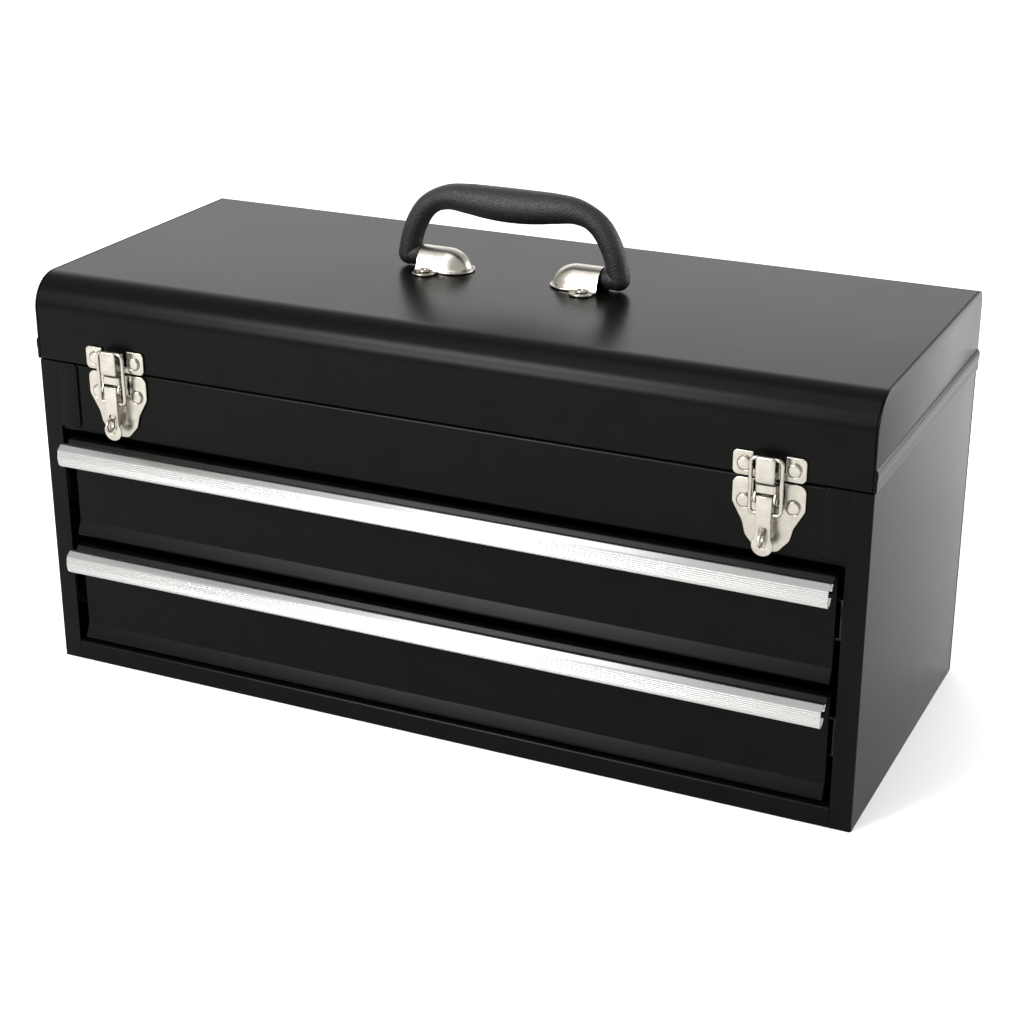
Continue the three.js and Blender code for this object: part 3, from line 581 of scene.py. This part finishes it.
# a ball of few faces: rings at even angles from pole to pole
def ball(middle, radius, rings=7, sides=10):
    turn = np.linspace(0.02, math.pi - 0.02, rings)
    profile = np.stack([np.sin(turn), -np.cos(turn)], axis=1) * radius
    return turned(profile, "z", middle, sides)


def slideShells(level):
    s = slide
    low, high = nodeBox(level + "_right_outer_channel")
    z = (low[2] + high[2]) / 2
    wall = s["wall"]
    inLow, inHigh = nodeBox(level + "_right_inner_channel")
    cageLow, cageHigh = nodeBox(level + "_right_ball_cage")

    def channel(web, lips, half, thick, y0, y1):
        edge = half - thick / 2
        line = [(lips, z + edge), (web, z + edge), (web, z - edge), (lips, z - edge)]
        return swept(folded(line, s["bend"], thick), "y", y0, y1)

    outer = channel(high[0] - wall / 2, low[0], high[2] - z, wall, low[1], high[1])
    inner = channel(inLow[0] + wall / 2, inHigh[0], inHigh[2] - z, wall, inLow[1], inHigh[1])
    half = cageHigh[2] - z
    slim = s["cageWall"]
    inset = (s["ball"] - slim) / 2
    cage = channel(cageHigh[0] - inset - slim / 2, cageLow[0], half - inset, slim, cageLow[1], cageHigh[1])
    rows = np.arange(cageLow[1] + s["rowEnds"][0], cageHigh[1] - s["rowEnds"][1], s["pitch"])
    balls = [ball((cageLow[0] + s["ballPlace"], y, z + sign * (half - s["ball"] / 2)), s["ball"] / 2)
             for y in rows for sign in (-1, 1)]
    return outer, inner, cage, balls


for level in ("upper", "lower"):
    outer, inner, cage, balls = slideShells(level)
    for side in ("right", "left"):
        place = moved if side == "right" else mirrored
        base = level + "_" + side
        makePiece(base + "_slide_outer", place([outer]), zinc, "case",
                  [base + "_outer_channel"])
        makePiece(base + "_slide_inner", place([inner]), zinc, level + "_drawer",
                  [base + "_inner_channel"])
        makePiece(base + "_slide_cage", place([cage] + balls), zinc, level + "_cages",
                  [base + "_ball_cage"])
print("slides: channels, cages and balls")

# Latches, drawn with their middle at x = 0
latch = {"inset": 55, "plate": 1.2, "half": 19.8, "pivotDrop": 10, "pivotReach": 5.4, "edge": 0.42,
         "hoodHalf": 5.3, "hoodReach": 9.2, "hoodTop": 13.8, "shelf": 10.7, "hoodDrop": 0.6, "hoodSoft": 1.7,
         "hoodCorner": 1.5, "hoodPlay": 0.6, "catchDrop": 0.3, "catchHeight": 13.5, "catchSlotWidth": 2.8,
         "catchSlotRise": 4, "catchRivet": 6.4, "baseDrop": 1.9, "baseRivet": 4.5, "rivetX": 13.3,
         "head": 4.2, "headHeight": 1.1, "shank": 2, "clinch": 2.7, "clinchHeight": 0.9,
         "wire": 1.2, "wireBend": 2.6, "bailHalf": 8.4, "bailDrop": 8.2, "hookRoom": 0.5,
         "lever": 4.4, "leverFace": 2.6, "leverTip": 5.9, "leverReach": 31, "leverTop": 2.1, "leverWall": 1.0,
         "slot": (1.8, 15, 26.5), "cheekEnd": 26, "curl": 2.3, "pin": 1.5, "pinHead": 0.7, "pinBrim": 0.8,
         "lug": (4.8, 1.2, 2.6), "bridge": 3.6, "bridgeFoot": 2.6, "bridgeBend": 1.9,
         "staple": (4.2, 2.5, 0.7, 2.0)}
latchX = halfWidth - latch["inset"]
catchFace = frontY - gap - latch["plate"]
baseFace = railFace - gap - latch["plate"]
pivotY = frontY - latch["pivotReach"]
pivotZ = lidBottom - latch["pivotDrop"]
leverFaceY = pivotY - latch["leverFace"]


# the right half of an outline, top to bottom, and the same half mirrored
def bothSides(half):
    return half[::-1] + [(-x, z) for x, z in half]


# a low rivet head inside a raised ring, standing before a face along -Y: the profile is (radius, height)
def rivetHead(radius, height, face, x, z):
    r, h = radius, height
    profile = [(0.01, 0), (r, 0), (r * 1.01, 0.22 * h), (r * 0.97, 0.4 * h), (r * 0.93, 0.34 * h),
               (r * 0.9, 0.04 * h), (r * 0.875, 0.04 * h), (r * 0.86, 0.5 * h), (r * 0.82, 0.76 * h),
               (r * 0.74, 0.9 * h), (r * 0.6, 0.97 * h), (r * 0.3, h), (0.01, h)]
    return turned([(a, -b) for a, b in profile], "y", (x, face - gap, z), 40)


# a rivet's shank, from inside its head through the plate and the sheet to a clinched end behind them
def rivetShank(face, x, z):
    t = latch
    through = t["plate"] + sheet + 2 * gap
    end = through + t["clinchHeight"]
    profile = [(0.01, 0), (t["shank"], 0), (t["shank"], through), (t["clinch"], through + 0.1),
               (t["clinch"], end - 0.2), (t["clinch"] - 0.4, end), (0.01, end)]
    return turned([(r, h - 0.2) for r, h in profile], "y", (x, face - gap, z), 24)


# catch plate with two ears, and a hood: a block with large rounded edges whose top is a lip over a shelf
def catchShells():
    t = latch
    low = lidBottom - t["catchDrop"]
    high = low + t["catchHeight"]
    inner = t["hoodHalf"] + t["hoodPlay"]
    outer, notch = inner + t["catchSlotWidth"], low + t["catchSlotRise"]
    outline = rounded(bothSides([(inner, high - 2), (inner, notch), (outer, notch), (outer, high),
                                 (t["half"], high), (t["half"], low)]),
                      [3, 2.5, 0.7, 1.2, 1, 0.5, 0.5, 1, 1.2, 0.7, 2.5, 3], True)
    face = stamped("y", catchFace + t["plate"] / 2, t["plate"], t["edge"], outline)
    front, root = frontY - t["hoodReach"], catchFace + t["plate"] / 2
    top, shelf, low = lidBottom + t["hoodTop"], lidBottom + t["shelf"], lidBottom - t["hoodDrop"]
    half = t["hoodHalf"]
    soft, lip, corner = t["hoodSoft"], t["plate"], t["hoodCorner"]

    def hoodRing(inset, radius, y):
        return square("y", rectangle(-half + inset, half - inset, low + inset, top - inset, radius, 8), y)

    # the hood goes from a flat back to a rounded front: each ring is drawn in by 1 - cos of the turn, while
    # it moves forward by sin
    turn = np.linspace(0, math.pi / 2, 9)[:-1]
    rings = [hoodRing(0, corner, front + lip)]
    for inset, forward in zip(soft * (1 - np.cos(turn)) * 0.75, 0.9 * lip * np.sin(turn)):
        rings.append(hoodRing(inset, corner, front + lip - forward))
    rings.append(hoodRing(1.9, 1, front))
    hood = shell(np.stack(rings))
    body = swept(rectangle(-half, half, low + 0.6, shelf, 1.1, 6), "y", front + lip - 0.05, root)
    return [face, hood, body]


# base plate: a flat shield with two lugs for the pin, a bridge above them that turns out onto the plate, and
# a bent foot beside each lug
def baseShells():
    t = latch
    top = lidBottom - t["baseDrop"]
    half = t["half"]
    outline = rounded(bothSides([(half, top), (half, pivotZ - 6), (13.9, pivotZ - 16.5),
                                 (12.2, pivotZ - 23.5), (5.7, pivotZ - 31)]),
                      [5, 6, 8, 5, 4, 4, 5, 8, 6, 5], True)
    face = stamped("y", baseFace + t["plate"] / 2, t["plate"], t["edge"], outline)
    root = baseFace + t["plate"] / 2
    low, bridgeTop = pivotZ + t["bridge"], top - gap
    front = pivotY - t["plate"] - gap
    inner, wall, radius = t["lug"]
    turn = np.radians(np.linspace(-90, 20, 16))
    nose = np.stack([pivotY - radius * np.cos(turn), pivotZ + radius * np.sin(turn)], axis=1)
    lugLine = np.vstack([[(root, pivotZ - radius)], nose, [(front + 0.5, low), (root, low)]])
    lugs = [stamped("x", sign * (inner + wall / 2), wall, 0.25, lugLine) for sign in (-1, 1)]
    middle, spread, bend = inner + wall / 2, inner + wall + t["bridgeFoot"], t["bridgeBend"]
    brow = front + wall / 2
    line = [(-spread, root), (-middle, root), (-middle, brow), (middle, brow), (middle, root), (spread, root)]
    bridge = swept(folded(line, [0, bend, 2, 2, bend, 0], wall, 10), "z", low, bridgeTop)
    roots = [swept(folded([(sign * spread, root), (sign * middle, root), (sign * middle, root - 3)],
                          [0, bend, 0], wall, 8), "z", pivotZ - 4, low) for sign in (-1, 1)]
    return [face, *lugs, bridge, *roots]


def leverShells():
    t = latch
    top = pivotZ + t["leverTop"]
    radius = t["leverTip"]
    tipZ = pivotZ - t["leverReach"] + radius
    spread = np.radians(np.linspace(128, 0, 31))
    tip = np.stack([radius * np.sin(spread), tipZ - radius * np.cos(spread)], axis=1)
    waist = rounded([(t["lever"], top), (t["lever"] - 0.4, pivotZ - 12),
                     (tip[0][0] - 0.3, tip[0][1] + 1.2), (tip[0][0], tip[0][1])], [0, 8, 2.5, 0], steps=10)
    right = np.vstack([waist, tip[1:-1]])
    outline = np.vstack([right, [tip[-1]], right[::-1] * (-1, 1)])
    half, high, low = t["slot"]
    slot = rectangle(-half, half, pivotZ - low, pivotZ - high, 1.2, 8)
    strap = stamped("y", leverFaceY + t["leverWall"] / 2, t["leverWall"], 0.42, outline, slot)
    front, back = leverFaceY + t["leverWall"] / 2, pivotY + 2.8
    end, bailZ = pivotZ - t["cheekEnd"], pivotZ - t["bailDrop"]
    wallX = t["lever"] - t["leverWall"] - 0.4
    cheek = rounded([(front, top - 0.4), (back, top - 0.4), (back, bailZ - 2.4),
                     (leverFaceY + t["leverWall"], end), (front, end)], [0, 1.5, 1.5, 0, 0], True)
    cheeks = [stamped("x", sign * (wallX + 0.5), t["leverWall"], 0.25, cheek) for sign in (-1, 1)]
    # the top of the lever curls over the pin: a roll round the pin's axis
    roll = circle(t["curl"], 32, (pivotY - 0.1, pivotZ))
    curl = swept(roll, "x", -t["lever"] + 0.2, t["lever"] - 0.2)
    return [strap, *cheeks, curl]


# a ring standing on a stem: the ring's outline with its hole, both in the plane x = 0
def stapleShells():
    t = latch
    radius, hole, half, reach = t["staple"]
    y, z = leverFaceY - reach, pivotZ - (t["slot"][1] + t["slot"][2]) / 2
    turn = np.radians(np.linspace(45, 315, 40))
    ring = np.stack([y + radius * np.cos(turn), z + radius * np.sin(turn)], axis=1)
    stem = radius * 0.7
    outline = np.vstack([ring, [(baseFace - gap, z - stem), (baseFace - gap, z + stem)]])
    return [stamped("x", 0, 2 * half, 0.3, outline, circle(hole, 32, (y, z)))]


# the bail is a round wire bent in one plane: in from its feet, up both sides and across behind the hood
def bailShells():
    t = latch
    footY, headY = pivotY, frontY - t["hoodReach"] + t["plate"] + gap + t["wire"] + t["hookRoom"]
    low, high = pivotZ - t["bailDrop"], lidBottom + t["shelf"] + gap + t["wire"]
    inside = t["lever"] - t["leverWall"] - 0.2
    half = t["bailHalf"]
    flat = rounded([(-inside, low), (-half, low), (-half, high), (half, high), (half, low), (inside, low)],
                   [0, t["wireBend"], t["wireBend"], t["wireBend"], t["wireBend"], 0], steps=12)
    share = (flat[:, 1] - low) / (high - low)
    path = np.stack([flat[:, 0], footY + (headY - footY) * share, flat[:, 1]], axis=1)
    return [tube(path, t["wire"] - 0.05, (0, 1, (footY - headY) / (high - low)), 20)]


def pinShells():
    t = latch
    end = t["lug"][0] + t["lug"][1] + gap
    r, h = t["pin"], t["pinHead"]
    big = r + t["pinBrim"]
    right = [(r, end - 0.1), (big - 0.15, end), (big, end + 0.2), (big - 0.1, end + h * 0.75),
             (big - 0.5, end + h), (r * 0.9, end + h), (r * 0.8, end + h * 0.6), (r * 0.6, end + h * 0.6),
             (0.01, end + h * 0.9)]
    profile = [(radius, -x) for radius, x in right[::-1]] + right
    return [turned(profile, "x", (0, pivotY, pivotZ), 32)]


for side, middle in (("left", -latchX), ("right", latchX)):
    sign = int(np.sign(middle))
    name = side + "_latch_"
    makePiece(name + "catch_plate", moved(catchShells(), middle), nickel, "lid", [name + "catch"])
    makePiece(name + "base_plate", moved(baseShells(), middle), nickel, "case", [name + "base"])
    makePiece(name + "ring", moved(stapleShells(), middle), nickel, "case", [name + "staple"])
    makePiece(name + "lever_arm", moved(leverShells(), middle), nickel, side + "_lever",
              [name + "lever"])
    makePiece(name + "bail_wire", moved(bailShells(), middle), nickel, side + "_bail",
              [name + "bail"])
    makePiece(name + "pin", moved(pinShells(), middle), nickel, side + "_lever",
              [side + "_lever_pin"])
    for spot, way in (("inner", -sign), ("outer", sign)):
        x = middle + way * latch["rivetX"]
        for kind, face, z, body in (("catch", catchFace, lidBottom + latch["catchRivet"], "lid"),
                                    ("base", baseFace, pivotZ - latch["baseRivet"], "case")):
            head = rivetHead(latch["head"], latch["headHeight"], face, x, z)
            makePiece("%s_%s_stud_%s" % (side, kind, spot), [head, rivetShank(face, x, z)], nickel, body,
                      ["%s_%s_rivet_%s" % (side, kind, spot)])
print("latches: catches, bases, levers, bails, pins and rivets")

# Handle brackets: a flange with two ears, and a dome with a half-oval section that closes in a sloping nose
bracket = {"mouth": 57.7, "barrel": 41.7, "nose": 15, "half": 10.8, "height": 13.0, "plate": 1.2,
           "flange": 1.4, "tip": 25.3, "ear": 7.0, "earOffset": 14.7, "earInset": 7.5, "hole": 2.3,
           "edge": 0.35, "fillet": 1.3, "flare": 0.8, "steps": (9, 26, 57), "cutBack": 9}
handleY = 11
floorZ = nodeBox("right_handle_bracket")[0][2]


# the dome is a grid: along it the half-oval section keeps its size and then shrinks to the nose as a quarter
# ellipse does; close to the floor it flares outwards, square to its plan, by an exponential of the height
def domeGrid(inset, mouth, fillet):
    b = bracket
    nose, half, height = b["nose"] - inset, b["half"] - inset, b["height"] - inset
    straight, curved, around = b["steps"]
    turn = np.concatenate([np.zeros(straight), np.linspace(0.05, math.pi / 2 - 0.02, curved)])[:, None]
    along = np.concatenate([np.linspace(mouth, b["barrel"], straight), np.full(curved, b["barrel"])])
    x = along[:, None] - nose * np.sin(turn)
    across = np.linspace(0, math.pi, around)[None]
    y = handleY - half * np.cos(turn) * np.cos(across)
    z = height * np.cos(turn) * np.sin(across)
    flare = fillet * np.exp(-np.maximum(z - b["plate"], 0) / b["flare"])
    length = np.hypot(np.sin(turn) * half, np.cos(turn) * nose)
    x = x - flare * np.sin(turn) * half / length
    y = y - np.sign(np.cos(across)) * flare * np.cos(turn) * nose / length
    return np.stack([x, y, floorZ + z], axis=-1)


def bracketShells():
    b = bracket
    mouth = b["mouth"]
    outer = domeGrid(0, mouth, b["fillet"])
    inner = domeGrid(b["plate"], mouth, 0)
    dome = shell(np.concatenate([outer, inner[:, ::-1]], axis=1))
    eyeX = mouth - b["earInset"]
    half = b["half"] + b["flange"]
    toe, tip = half - 0.1, b["tip"]
    ear = b["earOffset"] + b["ear"]
    back = eyeX - b["ear"]
    mouthEar = eyeX + b["ear"]
    inside = b["half"] - b["plate"]
    cut = b["barrel"] - b["cutBack"]
    outline = rounded([(mouth, -inside), (mouth, -half), (mouthEar, -half - 1), (mouthEar, -ear),
                       (back, -ear), (back, -half), (tip, -half), (tip, half), (back, half), (back, ear),
                       (mouthEar, ear), (mouthEar, half + 1), (mouth, half), (mouth, inside), (cut, inside),
                       (cut, -inside)],
                      [0.3, 0.3, 0.8, 6.6, 6.6, 1.6, toe, toe, 1.6, 6.6, 6.6, 0.8, 0.3, 0.3, 6, 6], True, 12)
    holes = [circle(b["hole"], 32, (eyeX, handleY + way * b["earOffset"])) for way in (-1, 1)]
    flange = stamped("z", floorZ + b["plate"] / 2, b["plate"], b["edge"], outline + (0, handleY), *holes)
    return [flange, dome]


for side in ("right", "left"):
    shells = bracketShells() if side == "right" else mirrored(bracketShells())
    makePiece(side + "_bracket_cup", shells, nickel, "lid", [side + "_handle_bracket"])


# a hollow rivet with a rolled rim: the profile (radius, height) goes down inside the rim and out over it
def hollowRivet(x, y):
    rim = [(0.01, -4.0), (1.9, -4.0), (1.9, 1.2), (3.2, 1.22), (3.55, 1.45), (3.6, 1.75), (3.45, 2.1),
           (3.0, 2.42), (2.4, 2.48), (1.9, 2.3), (1.5, 1.9), (1.35, 1.2), (1.35, -1.2), (0.01, -1.3)]
    return turned(rim, "z", (x, y, floorZ + gap), 40)


earX = bracket["mouth"] - bracket["earInset"]
for side, sign in (("right", 1), ("left", -1)):
    for spot, way in (("rear", 1), ("front", -1)):
        makePiece("%s_bracket_eyelet_%s" % (side, spot),
                  [hollowRivet(sign * earX, handleY + way * bracket["earOffset"])], nickel, "lid",
                  ["%s_bracket_rivet_%s" % (side, spot)])
print("brackets: cups and hollow rivets")

# Handle: one moulded loop with rounded feet; its palm swell is widest in the middle
handle = {"foot": 67.2, "rise": 39.2, "grip": 6.6, "swell": 3.5, "swellHalf": 50, "swellFrom": 0.7,
          "swellPower": 1.3, "swellDrop": 0.92, "stub": 4.2, "stubIn": 39.7, "elbow": 6.2, "play": 0.35,
          "axis": 7.1, "steps": 171, "capSteps": 13, "capTurn": 0.985, "sides": 44}


# the loop's middle line is a smooth curve through the points; along its top the radius grows by
# swell * (1 - (x / swellHalf)^2)^swellPower, mostly downwards; both feet close in a half ball
def handleShells(axisZ):
    h = handle
    foot, rise = h["foot"], h["rise"]
    right = [(foot, 0), (foot - 0.8, 5), (foot - 4.3, rise * 0.44), (foot - 12.6, rise * 0.77),
             (foot - 26, rise * 0.955), (foot - 42, rise)]
    points = np.array([(-x, z) for x, z in right] + right[::-1], float)
    run = np.concatenate([[0], np.cumsum(np.linalg.norm(np.diff(points, axis=0), axis=1) ** 0.75)])
    fine = np.linspace(0, run[-1], h["steps"])
    slopes = np.gradient(points, run, axis=0)
    slopes[0], slopes[-1] = (0, slopes[0][1]), (0, slopes[-1][1])
    slot = np.clip(np.searchsorted(run, fine, side="right") - 1, 0, len(run) - 2)
    width = run[slot + 1] - run[slot]
    t = ((fine - run[slot]) / width)[:, None]
    w = width[:, None]
    # cubic through both ends of each stretch with the slopes there
    line = ((2 * t ** 3 - 3 * t ** 2 + 1) * points[slot] + (t ** 3 - 2 * t ** 2 + t) * w * slopes[slot]
            + (3 * t ** 2 - 2 * t ** 3) * points[slot + 1] + (t ** 3 - t ** 2) * w * slopes[slot + 1])
    line[:, 1] = np.minimum(line[:, 1], rise)
    upper = line[:, 1] > rise * h["swellFrom"]
    inside = np.clip(1 - (line[:, 0] / h["swellHalf"]) ** 2, 0, 1) * upper
    radius = h["grip"] + h["swell"] * inside ** h["swellPower"]
    line[:, 1] -= (radius - h["grip"]) * h["swellDrop"]
    cap = np.linspace(-1, 0, h["capSteps"])[:-1] * math.pi / 2 * h["capTurn"]
    capZ = np.sin(cap)
    capR = np.cos(cap) * h["grip"]
    low = np.stack([np.full(len(capZ), -foot), capZ * h["grip"]], axis=1)
    high = np.stack([np.full(len(capZ), foot), capZ * h["grip"]], axis=1)[::-1]
    flat = np.vstack([low, line, high])
    radii = np.concatenate([capR, radius, capR[::-1]])
    path = np.stack([flat[:, 0], np.full(len(flat), handleY), axisZ + flat[:, 1]], axis=1)
    loop = tube(path, radii, (0, 1, 0), h["sides"])
    mouth, thin, thick, inner = bracket["mouth"] + h["play"], h["stub"], h["elbow"], h["stubIn"]
    end = [(0.01, inner), (thin - 0.5, inner), (thin, inner + 0.6), (thin, mouth), (thick - 0.6, mouth),
           (thick, mouth + 0.7), (thick + 0.2, foot - 2), (0.01, foot)]
    stub = turned(end, "x", (0, handleY, axisZ), 36)
    return [loop, stub, *mirrored([stub])]


makePiece("handle_grip", handleShells(lidTop + handle["axis"]), grip, "handle", ["handle"],
          sharp=60)
print("handle: grip")

# Camera: where it stands in metres, its turn, tilt and roll in degrees, and its lens
view = {"place": (0.50461, -1.07426, 0.59413), "turn": 24.938, "tilt": 22.555, "roll": 0.031, "lens": 74.45}
lens = bpy.data.cameras.new("camera")
lens.lens, lens.sensor_width = view["lens"], 36
camera = bpy.data.objects.new("camera", lens)
camera.matrix_world = (Matrix.Translation(view["place"]) @ Matrix.Rotation(math.radians(view["turn"]), 4, "Z")
                       @ Matrix.Rotation(math.radians(90 - view["tilt"]), 4, "X")
                       @ Matrix.Rotation(math.radians(view["roll"]), 4, "Z"))
bpy.context.scene.collection.objects.link(camera)
bpy.context.scene.camera = camera

# Studio: a pale floor, a white surround, and soft lights that face the middle of the object
studio = {"floor": "fbfbfa", "size": 8, "drop": 0.0003, "aim": (0, 0, 0.12), "surround": "ffffff",
          "surroundPower": 0.98,
          "lights": {"rear overhead": ((-1.2, 2.1, 1.35), (2.6, 1.2), 15),
                     "front left high": ((-0.95, -1.74, 1.63), (0.62, 0.62), 46),
                     "front left low": ((-0.94, -2.13, 1.0), (0.62, 0.5), 33),
                     "top": ((-0.35, -0.75, 2.2), (1.2, 1.2), 11),
                     "right low": ((0.95, 0.75, 0.42), (0.9, 0.6), 11)}}


def makeStudio():
    s = studio
    size, low = s["size"], -s["drop"]
    corners = [(-size, -size, low), (size, -size, low), (size, size, low), (-size, size, low)]
    mesh = bpy.data.meshes.new("floor")
    mesh.from_pydata(corners, [], [(0, 1, 2, 3)])
    material, tree, _ = startMaterial("matt white sweep")
    endMaterial(tree, {"Base Color": linear(s["floor"]), "Roughness": 0.8, "Specular IOR Level": 0.2}, {})
    mesh.materials.append(material)
    floor = bpy.data.objects.new("floor", mesh)
    bpy.context.scene.collection.objects.link(floor)
    world = bpy.data.worlds.new("surround")
    bpy.context.scene.world = world
    world.use_nodes = True
    back = world.node_tree.nodes["Background"]
    back.inputs["Color"].default_value = linear(s["surround"])
    back.inputs["Strength"].default_value = s["surroundPower"]
    for name, (place, (width, height), power) in s["lights"].items():
        lamp = bpy.data.lights.new(name, "AREA")
        lamp.shape, lamp.size, lamp.size_y, lamp.energy = "RECTANGLE", width, height, power
        light = bpy.data.objects.new(name, lamp)
        light.location = place
        light.rotation_mode = "QUATERNION"
        light.rotation_quaternion = (Vector(s["aim"]) - Vector(place)).to_track_quat("-Z", "Y")
        bpy.context.scene.collection.objects.link(light)


makeStudio()
bpy.context.scene.view_settings.view_transform = "Standard"
print("studio: floor, surround and lights")
